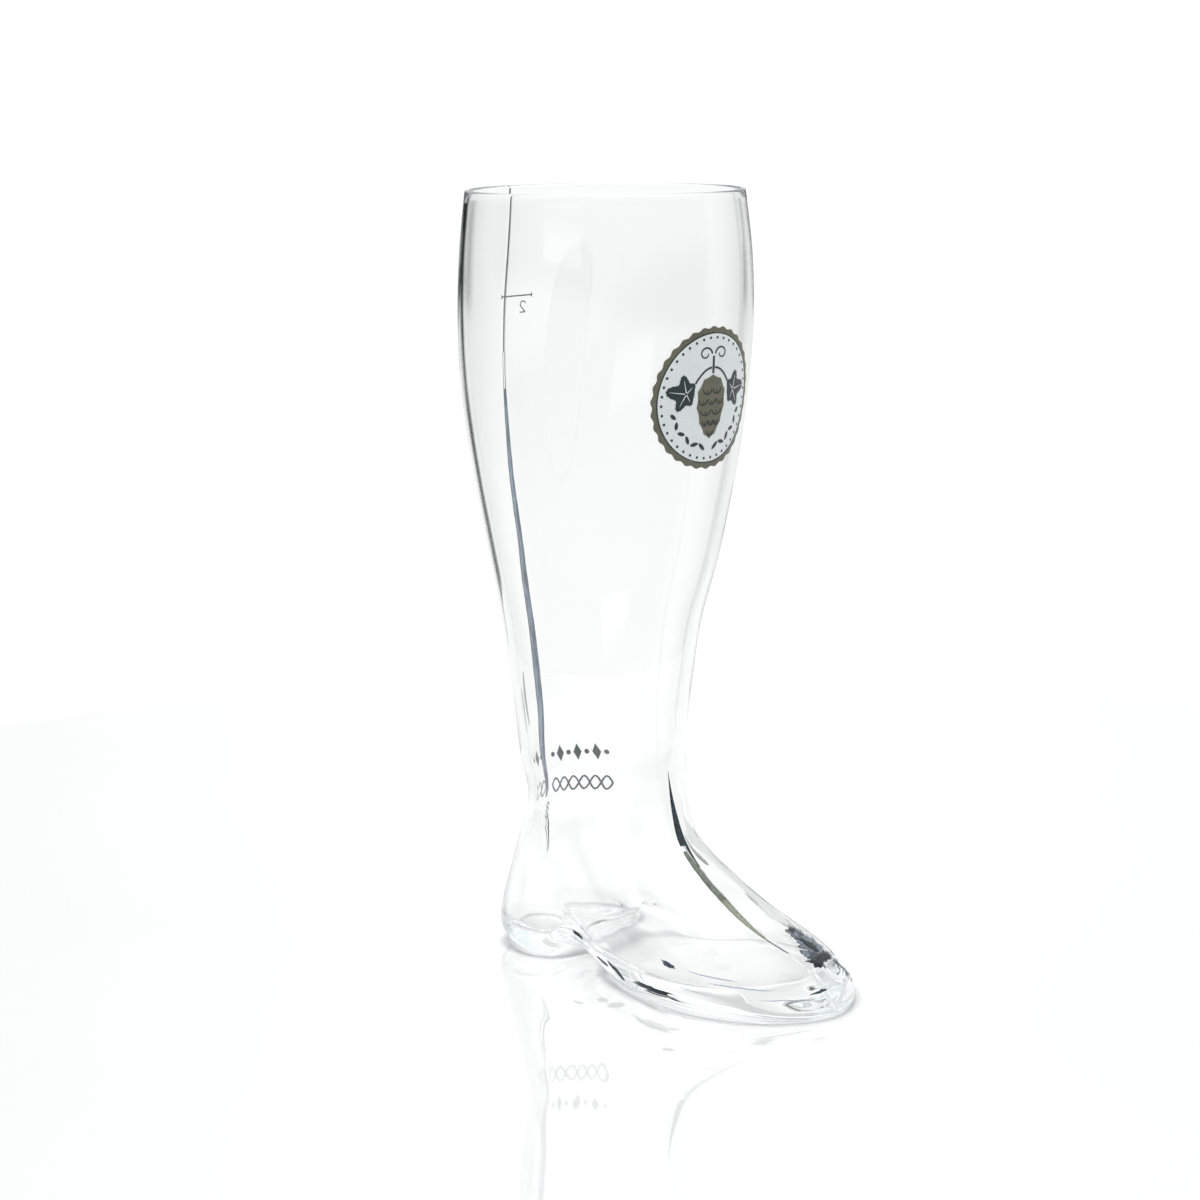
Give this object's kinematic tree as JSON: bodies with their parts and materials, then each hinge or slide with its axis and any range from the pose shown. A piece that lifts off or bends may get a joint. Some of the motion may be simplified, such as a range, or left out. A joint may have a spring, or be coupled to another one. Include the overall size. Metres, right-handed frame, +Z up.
{
  "type": "boot-shaped drinking glass",
  "caption": "Clear glass drinking vessel in the form of a tall boot, with a round printed badge on the shin, a fill line near the rim and an ankle ornament.",
  "frame": {"origin": "on the surface it stands on, under the middle of its bounding box", "axes": "+X towards the toe, +Y towards the left side of the boot, +Z up out of the rim"},
  "size_m": [0.2012, 0.1314, 0.342],
  "materials": {
    "glass": "clear, fire-polished",
    "print_white": "fired enamel, satin",
    "print_bronze": "fired metallic enamel, fine speckle",
    "print_dark": "fired enamel, satin",
    "print_teal": "fired enamel, satin, slightly see-through"
  },
  "bodies": {
    "root": {"glass_body": "glass", "badge_field": "print_white", "badge_border": "print_bronze", "badge_keyline": "print_dark", "badge_beads": "print_dark", "badge_sprigs": "print_dark", "badge_hop_cone": "print_bronze", "badge_cone_scales": "print_dark", "badge_leaves": "print_dark", "badge_stem": "print_dark", "fill_line": "print_dark", "capacity_figure": "print_dark", "ankle_lozenges": "print_teal", "ankle_braid": "print_teal"}
  },
  "joints": []
}
